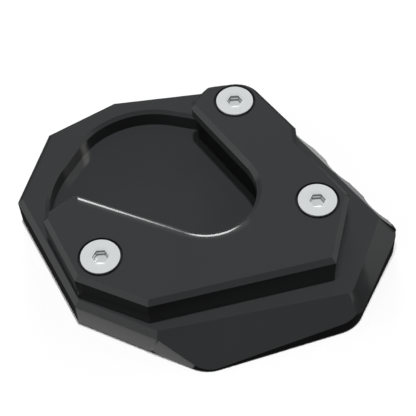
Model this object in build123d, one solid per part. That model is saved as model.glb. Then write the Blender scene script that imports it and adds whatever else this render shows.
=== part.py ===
from build123d import *
import os
from math import cos, radians, sin, tan

# Sizes in millimetres. X is to the right, Y is away from the viewer, Z is up.
# The origin lies on the ground, at the middle of the underside.
# An edge is (bearing of its outward side in degrees, reach from the origin).

# Plates
BASE_THICKNESS = 11.0
CLAMP_THICKNESS = 10.0
BASE_CHAMFER = 1.6
CLAMP_CHAMFER = 1.4
UNDERSIDE_CHAMFER = 0.4
CHAMFER_SLOPE = 45.0

# Straight sides of the base plate, going round from the west
BASE_WEST = (161.2, 54.2)
BASE_SOUTHWEST = (205.5, 46.1)
BASE_SOUTH_SOUTHWEST = (242.2, 43.2)
BASE_SOUTH = (284.8, 45.7)
BASE_EAST = (330.5, 53.45)
BASE_NORTHEAST = (33.7, 40.95)
BASE_NORTH = (94.0, 45.6)
BASE_NORTHWEST = (119.3, 51.0)
SOUTH_CORNER_RADIUS = 10.0
SOUTHEAST_CORNER_RADIUS = 10.0
EAST_CORNER_RADIUS = 5.0

# Bevels that thin the base plate towards the south and the east. The east bevel is drawn
# from three sections: a place along a bevel's upper edge, a plan direction, a run and a drop.
SOUTH_BEVEL = (278.8, 36.8)
SOUTH_BEVEL_SLOPE = 45.0
EAST_BEVEL = (336.4, 48.95)
CORNER_SOUTH_PLACE = 33.5
CORNER_SOUTH_DIRECTION = 295.0
CORNER_SOUTH_RUN = 4.75
CORNER_EAST_PLACE = -11.1
CORNER_EAST_DIRECTION = 327.3
CORNER_EAST_RUN = 3.3
CORNER_EAST_DROP = 7.3
EAST_END_PLACE = 14.1
EAST_END_DIRECTION = 322.3
EAST_END_RUN = 6.3
EAST_END_DROP = 3.25
BEVEL_INNER_OVERRUN = 0.25
BEVEL_OUTER_OVERRUN = 0.6

# Wider chamfer of the northeast side, and the finger scallops along it
NORTHEAST_CHAMFER = 2.45
SCALLOP_COUNT = 4
SCALLOP_RADIUS = 9.6
SCALLOP_DEPTH = 1.6
SCALLOP_SHIFT = 1.4

# Opening of the clamp plate
OPENING_ARM = 15.4
OPENING_ARM_BEARING = 33.0
OPENING_SOUTH = 13.9
OPENING_SOUTH_BEARING = 245.0
OPENING_RADIUS = 14.4

# Pocket that holds the stand's foot, and the lips of the clamp plate above it
POCKET_DEPTH = 6.0
POCKET_CHAMFER = 1.0
LIP_OVERHANG = 5.5
LIP_THICKNESS = 4.5
POCKET_WEST = (180.0, 45.2)
POCKET_NORTHWEST = (148.5, 45.0)
POCKET_NORTH = (73.5, 33.35)
POCKET_NORTHEAST = (OPENING_ARM_BEARING, OPENING_ARM + LIP_OVERHANG)
POCKET_SOUTH = (OPENING_SOUTH_BEARING, OPENING_SOUTH + LIP_OVERHANG)
POCKET_WEST_RADIUS = 28.0
POCKET_NORTH_RADIUS = 25.0
POCKET_ARM_RADIUS = 2.0
POCKET_SOUTHEAST_RADIUS = OPENING_RADIUS + LIP_OVERHANG
POCKET_SOUTHWEST_RADIUS = 5.0

# Outer sides of the clamp plate, set in from the base plate where they follow it
SOUTHWEST_INSET = 2.1
SOUTH_SOUTHWEST_INSET = 2.93
SOUTH_INSET = 3.7
EAST_INSET = 7.65
NORTHEAST_INSET = 8.45
EAR_INSET = 5.35
NORTH_INSET = 6.7
CLAMP_SOUTHWEST = (204.5, BASE_SOUTHWEST[1] - SOUTHWEST_INSET)
CLAMP_SOUTH_SOUTHWEST = (244.0, BASE_SOUTH_SOUTHWEST[1] - SOUTH_SOUTHWEST_INSET)
CLAMP_SOUTH = (281.1, SOUTH_BEVEL[1] - SOUTH_INSET)
CLAMP_EAST = (343.8, EAST_BEVEL[1] - EAST_INSET)
CLAMP_NORTHEAST = (33.0, BASE_NORTHEAST[1] - NORTHEAST_INSET)
CLAMP_STEP = (0.0, 28.7)
CLAMP_EAR = (34.0, BASE_NORTHEAST[1] - EAR_INSET)
CLAMP_ARM_NORTH = (94.7, BASE_NORTH[1] - NORTH_INSET)
CLAMP_ARM_END = (136.8, 24.2)
CLAMP_ARM_TIP = (180.0, 1.6)
CLAMP_ARM_INSIDE = (OPENING_ARM_BEARING + 180.0, -OPENING_ARM)
CLAMP_SOUTH_INSIDE = (OPENING_SOUTH_BEARING - 180.0, -OPENING_SOUTH)
CLAMP_NORTHWEST = (128.7, 24.3)
CLAMP_WEST_TIP = (165.0, 41.8)
CLAMP_EAST_RADIUS = CLAMP_CHAMFER + 0.2
EAR_RADIUS = 8.0
ARM_END_RADIUS = 2.5
SOUTH_LIP_RADIUS = 2.5

# Countersunk socket screws, M6 x 20
SCREW_PLACES = ((11.34, 32.1), (32.24, -6.3), (-28.83, -20.82))
SCREW_LENGTH = 20.0
THREAD_DIAMETER = 6.0
THREAD_CLEARANCE = 0.05
SHANK_CLEARANCE = 0.3
HEAD_DIAMETER = 11.3
HEAD_EDGE = 0.65
HEAD_PROUD = 0.2
HEAD_SEAT_CLEARANCE = 0.03
HEAD_ROUNDING = 0.15
SOCKET_ACROSS_FLATS = 4.0
SOCKET_DEPTH = 2.6
SCREW_END_CHAMFER = 0.8
THREAD_MOUTH_CHAMFER = 0.5

# Levels and sizes that follow from the ones above
BASE_TOP = BASE_THICKNESS
CLAMP_TOP = BASE_TOP + CLAMP_THICKNESS
POCKET_FLOOR = BASE_TOP - POCKET_DEPTH
LIP_UNDERSIDE = CLAMP_TOP - LIP_THICKNESS
HEAD_TOP = CLAMP_TOP + HEAD_PROUD
HEAD_CONE_TOP = HEAD_TOP - HEAD_EDGE
HEAD_CONE_HEIGHT = (HEAD_DIAMETER - THREAD_DIAMETER) / 2
SINK_TOP_DIAMETER = HEAD_DIAMETER + 2 * (CLAMP_TOP - HEAD_CONE_TOP + HEAD_SEAT_CLEARANCE)
BORE_DIAMETER = THREAD_DIAMETER + 2 * THREAD_CLEARANCE
CLEARANCE_DIAMETER = THREAD_DIAMETER + 2 * SHANK_CLEARANCE
TOOL_REACH = 200.0


def corner_point(edge, following):
    """Plan point where two straight sides cross."""
    first = radians(edge[0])
    second = radians(following[0])
    cross = sin(second - first)
    x = (edge[1] * sin(second) - following[1] * sin(first)) / cross
    y = (following[1] * cos(first) - edge[1] * cos(second)) / cross
    return Vector(x, y)


def travel(edge):
    """Direction along a side, with the material on the left."""
    angle = radians(edge[0])
    return Vector(-sin(angle), cos(angle))


def outward(edge):
    angle = radians(edge[0])
    return Vector(cos(angle), sin(angle))


def outline(sides):
    """Face inside straight sides; each side carries the radius of the corner at its end."""
    count = len(sides)
    entries = []
    exits = []
    for index in range(count):
        side, radius = sides[index]
        following = sides[(index + 1) % count][0]
        corner = corner_point(side, following)
        turn = (following[0] - side[0] + 180.0) % 360.0 - 180.0
        reach = radius * tan(radians(abs(turn) / 2))
        entries.append(corner - travel(side) * reach)
        exits.append(corner + travel(following) * reach)
    edges = []
    for index in range(count):
        side, radius = sides[index]
        edges.append(Line(exits[index - 1], entries[index]))
        if radius > 0:
            edges.append(TangentArc(entries[index], exits[index], tangent=travel(side)))
    return make_face(edges)


def prism(face, bottom, top):
    return Pos(0, 0, bottom) * extrude(face, top - bottom)


def base_outline():
    return outline(
        [
            (BASE_WEST, 0.0),
            (BASE_SOUTHWEST, 0.0),
            (BASE_SOUTH_SOUTHWEST, SOUTH_CORNER_RADIUS),
            (BASE_SOUTH, SOUTHEAST_CORNER_RADIUS),
            (BASE_EAST, EAST_CORNER_RADIUS),
            (BASE_NORTHEAST, 0.0),
            (BASE_NORTH, 0.0),
            (BASE_NORTHWEST, 0.0),
        ]
    )


def clamp_outline():
    return outline(
        [
            (CLAMP_SOUTHWEST, 0.0),
            (CLAMP_SOUTH_SOUTHWEST, 0.0),
            (CLAMP_SOUTH, 0.0),
            (CLAMP_EAST, CLAMP_EAST_RADIUS),
            (CLAMP_NORTHEAST, 0.0),
            (CLAMP_STEP, 0.0),
            (CLAMP_EAR, EAR_RADIUS),
            (CLAMP_ARM_NORTH, ARM_END_RADIUS),
            (CLAMP_ARM_END, 0.0),
            (CLAMP_ARM_TIP, 0.0),
            (CLAMP_ARM_INSIDE, OPENING_RADIUS),
            (CLAMP_SOUTH_INSIDE, SOUTH_LIP_RADIUS),
            (CLAMP_NORTHWEST, 0.0),
            (CLAMP_WEST_TIP, 0.0),
        ]
    )


def pocket_outline():
    return outline(
        [
            (POCKET_WEST, POCKET_SOUTHWEST_RADIUS),
            (POCKET_SOUTH, POCKET_SOUTHEAST_RADIUS),
            (POCKET_NORTHEAST, POCKET_ARM_RADIUS),
            (POCKET_NORTH, POCKET_NORTH_RADIUS),
            (POCKET_NORTHWEST, POCKET_WEST_RADIUS),
        ]
    )


def bevel_cutter(edge, slope):
    """Everything above a plane that falls outwards from an edge of the base plate's top."""
    side = outward(edge)
    foot = side * edge[1] + Vector(0, 0, BASE_TOP)
    tilt = radians(slope)
    normal = side * sin(tilt) + Vector(0, 0, cos(tilt))
    plane = Plane(origin=foot, x_dir=travel(edge), z_dir=normal)
    return plane * Box(TOOL_REACH, TOOL_REACH, TOOL_REACH, align=(Align.CENTER, Align.CENTER, Align.MIN))


def bevel_section(edge, place, direction, run, drop):
    """Upright triangle that falls outwards from a place on an edge of the base plate's top."""
    start = outward(edge) * edge[1] + travel(edge) * place
    across = Vector(cos(radians(direction)), sin(radians(direction))) * run
    inner = start - across * BEVEL_INNER_OVERRUN
    outer = start + across * (1 + BEVEL_OUTER_OVERRUN)
    high = BASE_TOP + drop * BEVEL_INNER_OVERRUN
    low = BASE_TOP - drop * (1 + BEVEL_OUTER_OVERRUN)
    corners = [
        Vector(inner.X, inner.Y, high),
        Vector(outer.X, outer.Y, low),
        Vector(outer.X, outer.Y, high),
    ]
    return make_face(Polyline(*corners, close=True))


def east_bevel_cutter():
    """Twisted bevel: it leaves the south bevel, turns steep round the corner and ends shallow."""
    turn = radians(CORNER_SOUTH_DIRECTION - SOUTH_BEVEL[0])
    corner_drop = CORNER_SOUTH_RUN * cos(turn) * tan(radians(SOUTH_BEVEL_SLOPE))
    sections = [
        bevel_section(SOUTH_BEVEL, CORNER_SOUTH_PLACE, CORNER_SOUTH_DIRECTION, CORNER_SOUTH_RUN, corner_drop),
        bevel_section(EAST_BEVEL, CORNER_EAST_PLACE, CORNER_EAST_DIRECTION, CORNER_EAST_RUN, CORNER_EAST_DROP),
        bevel_section(EAST_BEVEL, EAST_END_PLACE, EAST_END_DIRECTION, EAST_END_RUN, EAST_END_DROP),
    ]
    return loft(sections, ruled=True)


def scallop_cutters():
    """Upright cylinders spaced evenly along the northeast side, shifted a little to the north."""
    start = corner_point(BASE_EAST, BASE_NORTHEAST)
    end = corner_point(BASE_NORTHEAST, BASE_NORTH)
    offset = outward(BASE_NORTHEAST) * (SCALLOP_RADIUS - SCALLOP_DEPTH)
    offset = offset + travel(BASE_NORTHEAST) * SCALLOP_SHIFT
    cutters = []
    for index in range(SCALLOP_COUNT):
        share = (index + 0.5) / SCALLOP_COUNT
        centre = start + (end - start) * share + offset
        cutters.append(
            Pos(centre.X, centre.Y, BASE_TOP / 2) * Cylinder(SCALLOP_RADIUS, 2 * BASE_THICKNESS)
        )
    return cutters


def pocket_cutter():
    """Pocket with its chamfered rim."""
    shape = pocket_outline()
    rim = extrude(
        Pos(0, 0, BASE_TOP - POCKET_CHAMFER) * shape, 2 * POCKET_CHAMFER, dir=(0, 0, 1), taper=-CHAMFER_SLOPE
    )
    return prism(shape, POCKET_FLOOR, BASE_TOP) + rim


def cone_between(bottom, top, bottom_diameter, top_diameter):
    middle = (bottom + top) / 2
    return Pos(0, 0, middle) * Cone(bottom_diameter / 2, top_diameter / 2, top - bottom)


def cylinder_between(bottom, top, diameter):
    return Pos(0, 0, (bottom + top) / 2) * Cylinder(diameter / 2, top - bottom)


def make_base_plate():
    body = prism(base_outline(), 0.0, BASE_TOP)
    body = chamfer(body.faces().sort_by(Axis.Z)[-1].edges(), BASE_CHAMFER)
    body = chamfer(body.faces().sort_by(Axis.Z)[0].edges(), UNDERSIDE_CHAMFER)
    northeast = (BASE_NORTHEAST[0], BASE_NORTHEAST[1] - NORTHEAST_CHAMFER)
    body = body - bevel_cutter(northeast, CHAMFER_SLOPE)
    body = body - scallop_cutters()
    body = body - bevel_cutter(SOUTH_BEVEL, SOUTH_BEVEL_SLOPE)
    body = body - east_bevel_cutter()
    body = body - pocket_cutter()
    mouth = BORE_DIAMETER + 2 * THREAD_MOUTH_CHAMFER
    bore = cylinder_between(-1.0, BASE_TOP + 1.0, BORE_DIAMETER)
    bore = bore + cone_between(0.0, THREAD_MOUTH_CHAMFER, mouth, BORE_DIAMETER)
    for x, y in SCREW_PLACES:
        body = body - Pos(x, y, 0) * bore
    return body


def make_clamp_plate():
    body = prism(clamp_outline(), BASE_TOP, CLAMP_TOP)
    body = chamfer(body.faces().sort_by(Axis.Z)[-1].edges(), CLAMP_CHAMFER)
    body = body - prism(pocket_outline(), BASE_TOP - 1.0, LIP_UNDERSIDE)
    sink_depth = (SINK_TOP_DIAMETER - CLEARANCE_DIAMETER) / 2
    hole = cylinder_between(BASE_TOP - 1.0, CLAMP_TOP, CLEARANCE_DIAMETER)
    hole = hole + cone_between(
        CLAMP_TOP - sink_depth, CLAMP_TOP + 1.0, CLEARANCE_DIAMETER, SINK_TOP_DIAMETER + 2.0
    )
    for x, y in SCREW_PLACES:
        body = body - Pos(x, y, 0) * hole
    return body


def make_screw():
    end = HEAD_TOP - SCREW_LENGTH
    cone_foot = HEAD_CONE_TOP - HEAD_CONE_HEIGHT
    head = cylinder_between(HEAD_CONE_TOP, HEAD_TOP, HEAD_DIAMETER)
    head = chamfer(head.edges().sort_by(Axis.Z)[-1], HEAD_ROUNDING)
    cone = cone_between(cone_foot, HEAD_CONE_TOP, THREAD_DIAMETER, HEAD_DIAMETER)
    shank = cylinder_between(end, cone_foot, THREAD_DIAMETER)
    shank = chamfer(shank.edges().sort_by(Axis.Z)[0], SCREW_END_CHAMFER)
    socket = RegularPolygon(SOCKET_ACROSS_FLATS / 2, 6, major_radius=False)
    socket = prism(socket, HEAD_TOP - SOCKET_DEPTH, HEAD_TOP + 1.0)
    return head + cone + shank - socket


def make_clamp_screws():
    screw = make_screw()
    return Compound([Pos(x, y, 0) * screw for x, y in SCREW_PLACES])


os.makedirs("parts", exist_ok=True)
export_step(make_base_plate(), "parts/base_plate.step")
export_step(make_clamp_plate(), "parts/clamp_plate.step")
export_step(make_clamp_screws(), "parts/clamp_screws.step")
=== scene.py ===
"""Looks of a kickstand foot enlarger: two black anodised plates and three stainless countersunk screws."""

import math

import bmesh
import bpy
from mathutils import Matrix, Vector


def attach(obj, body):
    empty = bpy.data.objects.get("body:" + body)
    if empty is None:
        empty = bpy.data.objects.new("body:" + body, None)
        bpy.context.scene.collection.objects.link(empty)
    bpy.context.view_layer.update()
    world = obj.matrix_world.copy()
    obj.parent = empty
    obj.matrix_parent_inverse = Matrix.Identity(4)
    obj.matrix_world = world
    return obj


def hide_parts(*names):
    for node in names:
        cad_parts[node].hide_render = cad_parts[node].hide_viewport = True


# Lengths are in metres, apart from the sensor's width in millimetres, and angles are in degrees.
# A bearing is counted from +X towards +Y.
MM = 0.001

# Camera, fitted to the photograph
CAMERA_LOOK_POINT = Vector((1.4, -6.9, 21.25)) * MM
CAMERA_ELEVATION = 54.54
CAMERA_ROLL = -3.5
CAMERA_DISTANCE = 322.5 * MM
CAMERA_CLIP_START = 10 * MM
PHOTO_PIXELS = 416
CAMERA_FOCAL_PIXELS = 1150
SENSOR_WIDTH = 36.0

# Plates: points closer than the merge distance are one point, faces within the flat angle are one face,
# and an edge that turns by more than the edge angle stays sharp
MERGE_DISTANCE = 0.002 * MM
FLAT_ANGLE = 0.3
EDGE_ANGLE = 24.0
FLAT_WEIGHT = 100
CLAMP_TOP = 21.0 * MM

# Upward part of the normal of a level face, and of a face that slopes at about 45 degrees
LEVEL_NORMAL = 0.999
SLOPE_NORMALS = (0.5, 0.9)

# Rounded upper edge of the clamp's south lip, the bearings that it faces and the stretch that it takes up
LIP_ROUNDING = 1.8 * MM
LIP_ROUNDING_SEGMENTS = 10
LIP_ROUNDING_PROFILE = 0.5
LIP_BEARINGS = (50.0, 140.0)
LIP_WEST_END = -35.7 * MM
LIP_EAST_END = 20.0 * MM
LIP_NORTH_END = 8.0 * MM
TOP_EDGE_TOLERANCE = 0.14 * MM

# Countersinks: rim of the slope, reach within which its faces and its edges lie, depth of the cut below the
# rim, and the steep gap that the mouth becomes
SINK_RADIUS = 6.13 * MM
SINK_FACE_REACH = 1.01 * SINK_RADIUS
SINK_EDGE_REACH = 1.1 * SINK_RADIUS
SINK_CUT_DEPTH = 0.04 * MM
SINK_GAP_RADIUS = 6.27 * MM
SINK_GAP_FOOT = 6.2 * MM
SINK_GAP_DEPTH = 1.8 * MM

# Screws: M6 countersunk, with a hexagon socket; the thread's flat is a share of half its pitch
SCREW_PLACES = (
    (11.34 * MM, 32.1 * MM),
    (32.24 * MM, -6.3 * MM),
    (-28.83 * MM, -20.82 * MM),
)
SCREW_SEGMENTS = 96
SCREW_EDGE_ANGLE = 32.0
SCREW_LENGTH = 20.0 * MM
SCREW_END_CHAMFER = 0.8 * MM
HEAD_TOP = 21.2 * MM
HEAD_RADIUS = 5.5 * MM
HEAD_EDGE = 0.65 * MM
HEAD_ROUNDING = 0.04 * MM
HEAD_ROUNDING_STEPS = 4
THREAD_RADIUS = 3.0 * MM
THREAD_PITCH = 1.0 * MM
THREAD_DEPTH = 0.54 * MM
THREAD_FLAT = 0.125
THREAD_ROWS_PER_PITCH = 8
SOCKET_SIDES = 6
SOCKET_HALF_FLATS = 2.0 * MM
SOCKET_DEPTH = 2.6 * MM
SOCKET_MOUTH_DEPTH = 0.2 * MM
SOCKET_MOUTH_WIDTH = 0.45 * MM
SOCKET_REACH = 1.2 * SOCKET_HALF_FLATS

# Rings that only divide the level faces of a screw
SOCKET_FLOOR_RING = 0.5 * SOCKET_HALF_FLATS
HEAD_MIDDLE_RING = 0.6 * HEAD_RADIUS
HEAD_OUTER_RING = HEAD_RADIUS - 1.5 * HEAD_ROUNDING
SCREW_END_RING = 0.5 * (THREAD_RADIUS - SCREW_END_CHAMFER)

# Painted shade on the socket's wall, in dark bands: how dark it is at each depth below the head's top, from
# the bottom up
PAINTED_SHADE_BANDS = {
    2.5 * MM: 0.0,
    2.4 * MM: 1.0,
    1.75 * MM: 1.0,
    1.65 * MM: 0.0,
    1.15 * MM: 0.0,
    1.05 * MM: 1.0,
    0.3 * MM: 1.0,
}

# Finishes: pairs run from the darker or smoother to the paler or rougher
BLACK_TONES = ("#323334", "#363738")
BLACK_ROUGHNESS = (0.61, 0.67)
DIMPLE_SIZE = 0.35 * MM
DYE_PATCH_SIZE = 20.0 * MM
STEEL_TONES = ("#dee1e2", "#e4e7e8")
# Colour of the painted shade in the dark bands on the socket's wall
PAINTED_SOCKET_SHADE_TONE = "#7b7d7d"
STEEL_ROUGHNESS = (0.2, 0.66)
STEEL_SATIN_RADIUS = 1.35 * SOCKET_HALF_FLATS
STEEL_FACE_MIRROR = 0.25
STEEL_WALL_MIRROR = 1.0
TURNED_RING_SPACING = 0.55 * MM
BLOTCH_SIZE = 1.5 * MM
RELIEF_DEPTH = 0.02 * MM
FLOOR_TONE = "#fbfbfb"

# Sockets of a node that mixes two colours
MIX_AMOUNT = 0
MIX_FIRST = 6
MIX_SECOND = 7
MIX_RESULT = 2

# Brightness of the room above and below, and the heights between which one turns into the other
STUDIO_UPPER = 0.05
STUDIO_LOWER = 0.02
STUDIO_HORIZON = (-0.12, 0.08)

# Soft panels around the object: bearing, elevation, half width inside and outside its soft edge, brightness
STUDIO_PANELS = {
    "west_low": (177, 16, 14, 26, 0.65),
    "southwest": (207, 28, 14, 30, 0.52),
    "east_low": (4, 17, 22, 33, 0.42),
    "north_lamp": (92, 7, 7, 13, 11.0),
}

# Lamps over the object: bearing, elevation, radius of the lamp, and the part of the light that it gives
LAMP_DISTANCE = 4.0
STUDIO_LAMPS = {
    "overhead_softbox": (33, 88.4, 0.115, 0.8),
    "front_softbox": (213, 81.7, 0.085, 0.2),
}
FLOOR_LIGHT = 0.95

# A lamp that only glints: bearing, elevation, radius and brightness
GLINT_LAMP = (9, 51, 0.27, 14.0)
GLINT_COLOUR = "#fffcf7"

# White cards on the floor, unseen by the camera: bearing of the side that they lie along, reach of their near
# edge, width, length, shift along the side, and brightness
FLOOR_CARDS = {
    "southwest_card": (242.2, 43.4 * MM, 4.05 * MM, 29.5 * MM, -11.25 * MM, 0.53),
    "south_card": (255.2, 43.6 * MM, 3.45 * MM, 13 * MM, -0.3 * MM, 0.53),
    "northeast_card": (33.7, 52.0 * MM, 11.0 * MM, 24 * MM, 10 * MM, 1.1),
    "east_card": (33.7, 52.0 * MM, 11.0 * MM, 26 * MM, -16 * MM, 0.75),
    "far_northeast_card": (33.7, 67.0 * MM, 9.0 * MM, 38 * MM, 8 * MM, 0.12),
}
CARD_LIFT = 0.05 * MM
FLOOR_SIZE = 6.0


def linear_colour(hex_colour):
    """The linear colour of an sRGB hex value, with full opacity."""
    channels = []
    for start in (1, 3, 5):
        value = int(hex_colour[start:start + 2], 16) / 255
        if value <= 0.04045:
            channels.append(value / 12.92)
        else:
            channels.append(((value + 0.055) / 1.055) ** 2.4)
    return (*channels, 1.0)


def direction(bearing, elevation):
    """The unit vector at a bearing and an elevation."""
    across = math.cos(math.radians(elevation))
    return Vector((
        across * math.cos(math.radians(bearing)),
        across * math.sin(math.radians(bearing)),
        math.sin(math.radians(elevation)),
    ))


def add_object(name, data):
    """A new object in the scene."""
    thing = bpy.data.objects.new(name, data)
    bpy.context.scene.collection.objects.link(thing)
    return thing


def add_node(tree, kind, settings=None, values=None, links=None):
    """Adds a node, sets its properties and its sockets' values, and links outputs of others to its inputs."""
    node = tree.nodes.new(kind)
    for name, value in (settings or {}).items():
        setattr(node, name, value)
    for socket, value in (values or {}).items():
        node.inputs[socket].default_value = value
    for socket, output in (links or {}).items():
        tree.links.new(output, node.inputs[socket])
    return node


def new_material(name):
    material = bpy.data.materials.new(name)
    material.use_nodes = True
    material.node_tree.nodes.clear()
    return material


# Materials

def black_anodised_aluminium():
    """Bead-blasted aluminium with a dyed black oxide skin: an even satin black under a thin clear seal."""
    material = new_material("black_anodised_aluminium")
    tree = material.node_tree
    place = add_node(tree, "ShaderNodeTexCoord")
    # Blasting leaves dimples of about 0.1 mm; they are drawn coarser so that they show.
    dimples = add_node(tree, "ShaderNodeTexNoise",
                       values={"Scale": 1 / DIMPLE_SIZE, "Detail": 3.0, "Roughness": 0.6},
                       links={"Vector": place.outputs["Object"]})
    # The dye takes a little unevenly, in broad patches.
    dye = add_node(tree, "ShaderNodeTexNoise",
                   values={"Scale": 1 / DYE_PATCH_SIZE, "Detail": 2.0},
                   links={"Vector": place.outputs["Object"]})
    tone = add_node(tree, "ShaderNodeMix", settings={"data_type": "RGBA"},
                    values={MIX_FIRST: linear_colour(BLACK_TONES[0]),
                            MIX_SECOND: linear_colour(BLACK_TONES[1])},
                    links={MIX_AMOUNT: dye.outputs["Fac"]})
    gloss = add_node(tree, "ShaderNodeMapRange",
                     values={"To Min": BLACK_ROUGHNESS[0], "To Max": BLACK_ROUGHNESS[1]},
                     links={"Value": dimples.outputs["Fac"]})
    relief = add_node(tree, "ShaderNodeBump",
                      values={"Strength": 0.12, "Distance": RELIEF_DEPTH},
                      links={"Height": dimples.outputs["Fac"]})
    # The seal over the oxide is what mirrors the studio, faintly and a little blurred.
    skin = add_node(tree, "ShaderNodeBsdfPrincipled",
                    values={"IOR": 1.47, "Metallic": 0.0, "Coat Weight": 1.0, "Coat Roughness": 0.12,
                            "Coat IOR": 1.5},
                    links={"Base Color": tone.outputs[MIX_RESULT], "Roughness": gloss.outputs["Result"],
                           "Normal": relief.outputs["Normal"]})
    add_node(tree, "ShaderNodeOutputMaterial", links={"Surface": skin.outputs["BSDF"]})
    return material


def turned_stainless_steel():
    """Bare stainless steel, faced on a lathe: a pale satin face with faint rings and a mirroring socket."""
    material = new_material("turned_stainless_steel")
    tree = material.node_tree
    place = add_node(tree, "ShaderNodeTexCoord")
    radius = add_node(tree, "ShaderNodeAttribute", settings={"attribute_name": "axis_distance"})
    # The facing cut advances about 0.1 mm a turn; its rings are drawn wider so that they show.
    rings = add_node(tree, "ShaderNodeMath", settings={"operation": "MULTIPLY"},
                     values={1: math.tau / TURNED_RING_SPACING}, links={0: radius.outputs["Fac"]})
    wave = add_node(tree, "ShaderNodeMath", settings={"operation": "SINE"}, links={0: rings.outputs[0]})
    blotches = add_node(tree, "ShaderNodeTexNoise",
                        values={"Scale": 1 / BLOTCH_SIZE, "Detail": 3.0},
                        links={"Vector": place.outputs["Object"]})
    tone = add_node(tree, "ShaderNodeMix", settings={"data_type": "RGBA"},
                    values={MIX_FIRST: linear_colour(STEEL_TONES[0]),
                            MIX_SECOND: linear_colour(STEEL_TONES[1])},
                    links={MIX_AMOUNT: blotches.outputs["Fac"]})
    # Painted shade: dark bands round the socket's wall, standing in for the dark reflections there.
    shade = add_node(tree, "ShaderNodeAttribute", settings={"attribute_name": "socket_shade"})
    shaded_tone = add_node(tree, "ShaderNodeMix", settings={"data_type": "RGBA"},
                      values={MIX_SECOND: linear_colour(PAINTED_SOCKET_SHADE_TONE)},
                      links={MIX_AMOUNT: shade.outputs["Fac"], MIX_FIRST: tone.outputs[MIX_RESULT]})
    # The socket is pressed smooth, the face around it is left satin by the lathe.
    gloss = add_node(tree, "ShaderNodeMapRange",
                     values={"From Min": SOCKET_HALF_FLATS, "From Max": STEEL_SATIN_RADIUS,
                             "To Min": STEEL_ROUGHNESS[0], "To Max": STEEL_ROUGHNESS[1]},
                     links={"Value": radius.outputs["Fac"]})
    relief = add_node(tree, "ShaderNodeBump", values={"Strength": 0.08, "Distance": RELIEF_DEPTH},
                      links={"Height": wave.outputs[0]})
    # Fine turning scatters light evenly, so the face keeps its tone from all sides; the pressed wall mirrors.
    wall = add_node(tree, "ShaderNodeAttribute", settings={"attribute_name": "socket_wall"})
    mirror = add_node(tree, "ShaderNodeMapRange",
                      values={"To Min": STEEL_FACE_MIRROR, "To Max": STEEL_WALL_MIRROR},
                      links={"Value": wall.outputs["Fac"]})
    metal = add_node(tree, "ShaderNodeBsdfPrincipled",
                     links={"Base Color": shaded_tone.outputs[MIX_RESULT], "Metallic": mirror.outputs["Result"],
                            "Roughness": gloss.outputs["Result"], "Normal": relief.outputs["Normal"]})
    add_node(tree, "ShaderNodeOutputMaterial", links={"Surface": metal.outputs["BSDF"]})
    return material


def matt_white_painted_board():
    """Board painted matt white: an even pale ground that takes soft shadows."""
    material = new_material("matt_white_painted_board")
    tree = material.node_tree
    paint = add_node(tree, "ShaderNodeBsdfPrincipled",
                     values={"Base Color": linear_colour(FLOOR_TONE), "Roughness": 0.9})
    add_node(tree, "ShaderNodeOutputMaterial", links={"Surface": paint.outputs["BSDF"]})
    return material


# Plates

def nearest_screw(point):
    """The plan place of the screw nearest to a point."""
    return min(SCREW_PLACES, key=lambda place: math.dist(place, point.xy))


def is_slope(face):
    """Whether a face looks upwards at about 45 degrees."""
    return SLOPE_NORMALS[0] < face.normal.z < SLOPE_NORMALS[1]


def top_edge_of_lip(edge):
    """Whether an edge joins the clamp's top to the chamfer of its south lip."""
    if len(edge.link_faces) != 2:
        return False
    slope, level = sorted(edge.link_faces, key=lambda face: face.normal.z)
    if level.normal.z < LEVEL_NORMAL or not is_slope(slope):
        return False
    if min(vertex.co.z for vertex in edge.verts) < CLAMP_TOP - TOP_EDGE_TOLERANCE:
        return False
    bearing = math.degrees(math.atan2(slope.normal.y, slope.normal.x)) % 360
    middle = (edge.verts[0].co + edge.verts[1].co) / 2
    inside = LIP_WEST_END < middle.x < LIP_EAST_END and middle.y < LIP_NORTH_END
    in_sink = math.dist(nearest_screw(middle), middle.xy) < SINK_EDGE_REACH
    return inside and not in_sink and LIP_BEARINGS[0] < bearing < LIP_BEARINGS[1]


def sink_slopes(shape):
    """The faces of the countersinks' slopes, with their edges and points."""
    slopes = set()
    for face in shape.faces:
        if not is_slope(face):
            continue
        for place in SCREW_PLACES:
            if max(math.dist(place, vertex.co.xy) for vertex in face.verts) < SINK_FACE_REACH:
                slopes.add(face)
                slopes.update(face.edges)
                slopes.update(face.verts)
    return list(slopes)


def points_of(elements):
    return {element for element in elements if isinstance(element, bmesh.types.BMVert)}


def deepen_sink_rims(shape):
    """Cuts the countersinks steep at their mouth, so that a deep dark gap is left round each screw's head."""
    cut = bmesh.ops.bisect_plane(shape, geom=sink_slopes(shape), dist=MERGE_DISTANCE,
                                 plane_co=(0, 0, CLAMP_TOP - SINK_CUT_DEPTH), plane_no=(0, 0, 1))
    feet = points_of(cut["geom_cut"])
    rims = points_of(sink_slopes(shape)) - feet
    rims = {vertex for vertex in rims if vertex.co.z > CLAMP_TOP - MERGE_DISTANCE}
    for vertex in feet | rims:
        x, y = nearest_screw(vertex.co)
        outward = Vector((vertex.co.x - x, vertex.co.y - y, 0)).normalized()
        if vertex in rims:
            vertex.co = Vector((x, y, CLAMP_TOP)) + outward * SINK_GAP_RADIUS
        else:
            vertex.co = Vector((x, y, CLAMP_TOP - SINK_GAP_DEPTH)) + outward * SINK_GAP_FOOT


def round_lip(shape):
    """Rounds the upper edge of the clamp's south lip."""
    edges = [edge for edge in shape.edges if top_edge_of_lip(edge)]
    bmesh.ops.bevel(shape, geom=edges, offset=LIP_ROUNDING, offset_type="OFFSET",
                    segments=LIP_ROUNDING_SEGMENTS, profile=LIP_ROUNDING_PROFILE, affect="EDGES")
    bmesh.ops.remove_doubles(shape, verts=shape.verts, dist=MERGE_DISTANCE)


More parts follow.
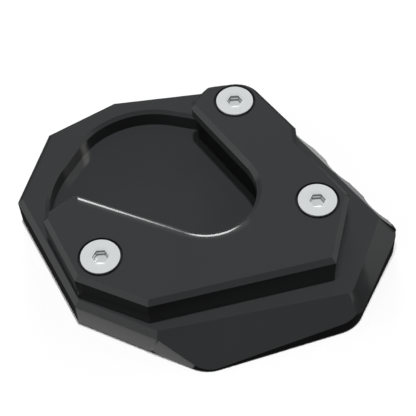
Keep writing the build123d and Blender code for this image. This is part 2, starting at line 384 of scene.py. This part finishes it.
def finished_plate(node, name, material, details):
    """A copy of a plate's solid, merged to whole faces, with each of its details worked into it."""
    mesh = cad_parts[node].data.copy()
    mesh.name = name
    shape = bmesh.new()
    shape.from_mesh(mesh)
    bmesh.ops.remove_doubles(shape, verts=shape.verts, dist=MERGE_DISTANCE)
    bmesh.ops.dissolve_limit(shape, angle_limit=math.radians(FLAT_ANGLE),
                             verts=shape.verts, edges=shape.edges)
    for detail in details:
        detail(shape)
    for face in shape.faces:
        face.smooth = True
    for edge in shape.edges:
        edge.smooth = edge.calc_face_angle(0.0) < math.radians(EDGE_ANGLE)
    shape.to_mesh(mesh)
    shape.free()
    mesh.materials.clear()
    mesh.materials.append(material)
    plate = add_object(name, mesh)
    flat = plate.modifiers.new("flat_faces", "WEIGHTED_NORMAL")
    flat.mode = "FACE_AREA"
    flat.weight = FLAT_WEIGHT
    flat.keep_sharp = True
    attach(plate, "root")
    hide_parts(node)
    return plate


# Screws

def turn_of(step):
    """The angle of one of the points of a ring about the screw's axis."""
    return math.tau * step / SCREW_SEGMENTS


def ring_point(radius, turn, height):
    return Vector((radius * math.cos(turn), radius * math.sin(turn), height))


def ring_of(radius, height):
    """A level circle of points about the screw's axis."""
    return [ring_point(radius, turn_of(step), height) for step in range(SCREW_SEGMENTS)]


def socket_ring(half_flats, height):
    """A level hexagon of points about the screw's axis, with a flat to the north and to the south."""
    ring = []
    side = math.tau / SOCKET_SIDES
    for step in range(SCREW_SEGMENTS):
        turn = turn_of(step)
        off_flat = (turn + side / 2 - math.tau / 4) % side - side / 2
        ring.append(ring_point(half_flats / math.cos(off_flat), turn, height))
    return ring


def thread_ring(height, top, bottom):
    """A ring of points on the thread's flanks, which fades out towards the head and the screw's end."""
    ring = []
    for step in range(SCREW_SEGMENTS):
        along = (height / THREAD_PITCH - step / SCREW_SEGMENTS) % 1.0
        flank = abs(2 * along - 1)
        root = min(1.0, max(0.0, (flank - THREAD_FLAT) / (1 - 2 * THREAD_FLAT)))
        fade = min(1.0, max(0.0, (top - height) / THREAD_PITCH))
        radius = THREAD_RADIUS - THREAD_DEPTH * (1 - root) * fade
        taper = max(0.0, bottom + SCREW_END_CHAMFER - height)
        radius = min(radius, THREAD_RADIUS - taper)
        ring.append(ring_point(radius, turn_of(step), height))
    return ring


def screw_rings():
    """The rings of one screw, from the socket's floor over the head and down to the screw's end."""
    floor_height = HEAD_TOP - SOCKET_DEPTH
    end = HEAD_TOP - SCREW_LENGTH
    cone_top = HEAD_TOP - HEAD_EDGE
    cone_foot = cone_top - (HEAD_RADIUS - THREAD_RADIUS)
    rings = [
        ring_of(SOCKET_FLOOR_RING, floor_height),
        socket_ring(SOCKET_HALF_FLATS, floor_height),
    ]
    for depth in PAINTED_SHADE_BANDS:
        rings.append(socket_ring(SOCKET_HALF_FLATS, HEAD_TOP - depth))
    rings += [
        socket_ring(SOCKET_HALF_FLATS, HEAD_TOP - SOCKET_MOUTH_DEPTH),
        socket_ring(SOCKET_HALF_FLATS + SOCKET_MOUTH_WIDTH, HEAD_TOP),
        ring_of(HEAD_MIDDLE_RING, HEAD_TOP),
        ring_of(HEAD_OUTER_RING, HEAD_TOP),
    ]
    for step in range(HEAD_ROUNDING_STEPS + 1):
        lean = math.tau / 4 * step / HEAD_ROUNDING_STEPS
        radius = HEAD_RADIUS - HEAD_ROUNDING * (1 - math.sin(lean))
        rings.append(ring_of(radius, HEAD_TOP - HEAD_ROUNDING * (1 - math.cos(lean))))
    rings.append(ring_of(HEAD_RADIUS, cone_top))
    rings.append(ring_of(THREAD_RADIUS, cone_foot))
    rows = round((cone_foot - end) / THREAD_PITCH * THREAD_ROWS_PER_PITCH)
    for row in range(1, rows + 1):
        rings.append(thread_ring(cone_foot - (cone_foot - end) * row / rows, cone_foot, end))
    rings.append(ring_of(SCREW_END_RING, end))
    return rings


def mark_for_finish(shape):
    """Keeps each point's distance from the axis, and the painted shade of the socket's wall, for the turned
    finish.
    """
    distance = shape.verts.layers.float.new("axis_distance")
    shade = shape.verts.layers.float.new("socket_shade")
    wall = shape.verts.layers.float.new("socket_wall")
    for vertex in shape.verts:
        vertex[distance] = math.hypot(vertex.co.x, vertex.co.y)
        if vertex[distance] > SOCKET_REACH:
            continue
        # Painted shade: the socket wall's dark bands, set at their depths
        for depth, amount in PAINTED_SHADE_BANDS.items():
            if abs(HEAD_TOP - depth - vertex.co.z) < MERGE_DISTANCE:
                vertex[shade] = amount
                vertex[wall] = 1.0


def screw_mesh():
    """One screw about the Z axis, a closed skin over its rings."""
    shape = bmesh.new()
    rows = [[shape.verts.new(point) for point in ring] for ring in screw_rings()]
    for upper, lower in zip(rows, rows[1:]):
        for step in range(SCREW_SEGMENTS):
            following = (step + 1) % SCREW_SEGMENTS
            shape.faces.new((upper[step], lower[step], lower[following], upper[following]))
    shape.faces.new(rows[0])
    shape.faces.new(rows[-1][::-1])
    bmesh.ops.recalc_face_normals(shape, faces=shape.faces)
    for face in shape.faces:
        face.smooth = True
    for edge in shape.edges:
        edge.smooth = edge.calc_face_angle(0.0) <= math.radians(SCREW_EDGE_ANGLE)
    mark_for_finish(shape)
    mesh = bpy.data.meshes.new("screw_blank")
    shape.to_mesh(mesh)
    shape.free()
    return mesh


def screw_placing_tree(material):
    """A tree that sets one screw on each point of a mesh and makes the result plain geometry."""
    tree = bpy.data.node_groups.new("screw_placing", "GeometryNodeTree")
    tree.interface.new_socket("Places", in_out="INPUT", socket_type="NodeSocketGeometry")
    tree.interface.new_socket("Screw", in_out="INPUT", socket_type="NodeSocketObject")
    tree.interface.new_socket("Screws", in_out="OUTPUT", socket_type="NodeSocketGeometry")
    given = add_node(tree, "NodeGroupInput")
    screw = add_node(tree, "GeometryNodeObjectInfo", links={"Object": given.outputs["Screw"]})
    placed = add_node(tree, "GeometryNodeInstanceOnPoints",
                      links={"Points": given.outputs["Places"], "Instance": screw.outputs["Geometry"]})
    real = add_node(tree, "GeometryNodeRealizeInstances", links={"Geometry": placed.outputs["Instances"]})
    finish = add_node(tree, "GeometryNodeSetMaterial", values={"Material": material},
                      links={"Geometry": real.outputs["Geometry"]})
    add_node(tree, "NodeGroupOutput", links={"Screws": finish.outputs["Geometry"]})
    return tree


def clamp_screws(material):
    """The three screws as one piece."""
    blank = add_object("screw_blank", screw_mesh())
    places = bpy.data.meshes.new("screw_places")
    places.from_pydata([(x, y, 0.0) for x, y in SCREW_PLACES], [], [])
    holder = add_object("screw_places", places)
    placing = holder.modifiers.new("screw_placing", "NODES")
    placing.node_group = screw_placing_tree(material)
    for socket in placing.node_group.interface.items_tree:
        if socket.in_out == "INPUT" and socket.name == "Screw":
            placing[socket.identifier] = blank
    bpy.context.view_layer.update()
    graph = bpy.context.evaluated_depsgraph_get()
    mesh = bpy.data.meshes.new_from_object(holder.evaluated_get(graph), depsgraph=graph)
    mesh.name = "turned_clamp_screws"
    holder.modifiers.remove(placing)
    bpy.data.objects.remove(holder)
    bpy.data.objects.remove(blank)
    screws = add_object("turned_clamp_screws", mesh)
    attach(screws, "root")
    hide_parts("clamp_screws")
    return screws


# Stage

def studio_surround():
    """The studio round the object: a dim room with soft panels, each a disc of light with a soft edge."""
    world = bpy.data.worlds.new("studio")
    world.use_nodes = True
    bpy.context.scene.world = world
    tree = world.node_tree
    tree.nodes.clear()
    place = add_node(tree, "ShaderNodeTexCoord")
    height = add_node(tree, "ShaderNodeSeparateXYZ", links={"Vector": place.outputs["Generated"]})
    room = add_node(tree, "ShaderNodeMapRange", settings={"interpolation_type": "SMOOTHSTEP"},
                    values={"From Min": STUDIO_HORIZON[0], "From Max": STUDIO_HORIZON[1],
                            "To Min": STUDIO_LOWER, "To Max": STUDIO_UPPER},
                    links={"Value": height.outputs["Z"]})
    total = room.outputs["Result"]
    for bearing, elevation, inner, outer, brightness in STUDIO_PANELS.values():
        nearness = add_node(tree, "ShaderNodeVectorMath", settings={"operation": "DOT_PRODUCT"},
                            values={1: direction(bearing, elevation)}, links={0: place.outputs["Generated"]})
        panel = add_node(tree, "ShaderNodeMapRange", settings={"interpolation_type": "SMOOTHSTEP"},
                         values={"From Min": math.cos(math.radians(outer)),
                                 "From Max": math.cos(math.radians(inner)),
                                 "To Min": 0.0, "To Max": brightness},
                         links={"Value": nearness.outputs["Value"]})
        total = add_node(tree, "ShaderNodeMath", settings={"operation": "ADD"},
                         links={0: total, 1: panel.outputs["Result"]}).outputs[0]
    sky = add_node(tree, "ShaderNodeBackground", links={"Strength": total})
    add_node(tree, "ShaderNodeOutputWorld", links={"Surface": sky.outputs["Background"]})


def round_lamp(name, bearing, elevation, radius, energy):
    """A round lamp at the lamps' distance that faces the object, unseen by the camera."""
    lamp = bpy.data.lights.new(name, "AREA")
    lamp.shape = "DISK"
    lamp.size = 2 * radius
    lamp.energy = energy
    holder = add_object(name, lamp)
    toward = direction(bearing, elevation)
    turn = toward.to_track_quat("Z", "Y").to_matrix().to_4x4()
    holder.matrix_world = Matrix.Translation(toward * LAMP_DISTANCE) @ turn
    holder.visible_camera = False
    return holder


def studio_lamps():
    """Round softboxes that nothing mirrors; together they light a level white surface to about white."""
    for name, (bearing, elevation, radius, share) in STUDIO_LAMPS.items():
        slope = math.sin(math.radians(elevation))
        energy = math.pi * FLOOR_LIGHT * share * math.pi * LAMP_DISTANCE ** 2 / slope
        softbox = round_lamp(name, bearing, elevation, radius, energy)
        softbox.visible_glossy = False


def glint_lamp():
    """A far lamp in the east, seen only where it is mirrored, such as in the pocket's wall."""
    bearing, elevation, radius, brightness = GLINT_LAMP
    energy = brightness * math.pi * math.pi * radius ** 2
    lamp = round_lamp("east_lamp", bearing, elevation, radius, energy)
    lamp.data.color = linear_colour(GLINT_COLOUR)[:3]
    lamp.visible_diffuse = False


def floor_cards():
    """Cards that the base plate's low sides mirror; what stands higher mirrors the dark beyond them."""
    for name, (bearing, near, width, length, shift, brightness) in FLOOR_CARDS.items():
        card = bpy.data.lights.new(name, "AREA")
        card.shape = "RECTANGLE"
        card.size = width
        card.size_y = length
        card.energy = brightness * math.pi * width * length
        lying = add_object(name, card)
        middle = direction(bearing, 0) * (near + width / 2) + direction(bearing + 90, 0) * shift
        turn = Matrix.Rotation(math.radians(bearing), 4, "Z") @ Matrix.Rotation(math.pi, 4, "X")
        lying.matrix_world = Matrix.Translation(middle + Vector((0, 0, CARD_LIFT))) @ turn
        lying.visible_camera = False
        lying.visible_diffuse = False


def floor():
    """The pale ground; the metal neither mirrors it nor is lit by it, so the low walls stay dark."""
    shape = bmesh.new()
    bmesh.ops.create_grid(shape, x_segments=1, y_segments=1, size=FLOOR_SIZE / 2)
    mesh = bpy.data.meshes.new("floor")
    shape.to_mesh(mesh)
    shape.free()
    mesh.materials.append(matt_white_painted_board())
    ground = add_object("floor", mesh)
    ground.visible_glossy = False
    ground.visible_diffuse = False


def camera():
    """The camera, which looks north and down at the part."""
    data = bpy.data.cameras.new("camera")
    data.sensor_width = SENSOR_WIDTH
    data.lens = SENSOR_WIDTH * CAMERA_FOCAL_PIXELS / PHOTO_PIXELS
    data.clip_start = CAMERA_CLIP_START
    viewer = add_object("camera", data)
    tilt = Matrix.Rotation(math.radians(90 - CAMERA_ELEVATION), 4, "X")
    roll = Matrix.Rotation(math.radians(CAMERA_ROLL), 4, "Z")
    back = tilt @ Vector((0, 0, CAMERA_DISTANCE))
    viewer.matrix_world = Matrix.Translation(CAMERA_LOOK_POINT + back) @ tilt @ roll
    bpy.context.scene.camera = viewer


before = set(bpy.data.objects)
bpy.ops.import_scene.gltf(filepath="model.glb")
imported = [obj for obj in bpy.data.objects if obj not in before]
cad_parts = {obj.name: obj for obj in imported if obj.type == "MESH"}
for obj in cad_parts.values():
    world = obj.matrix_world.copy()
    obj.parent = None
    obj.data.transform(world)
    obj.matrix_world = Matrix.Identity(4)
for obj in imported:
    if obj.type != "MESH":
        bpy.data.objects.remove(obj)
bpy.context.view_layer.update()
bpy.context.scene.view_settings.view_transform = "Standard"

anodised = black_anodised_aluminium()
finished_plate("base_plate", "milled_base_plate", anodised, [])
finished_plate("clamp_plate", "milled_clamp_plate", anodised, [deepen_sink_rims, round_lip])
clamp_screws(turned_stainless_steel())
studio_surround()
studio_lamps()
glint_lamp()
floor_cards()
floor()
camera()
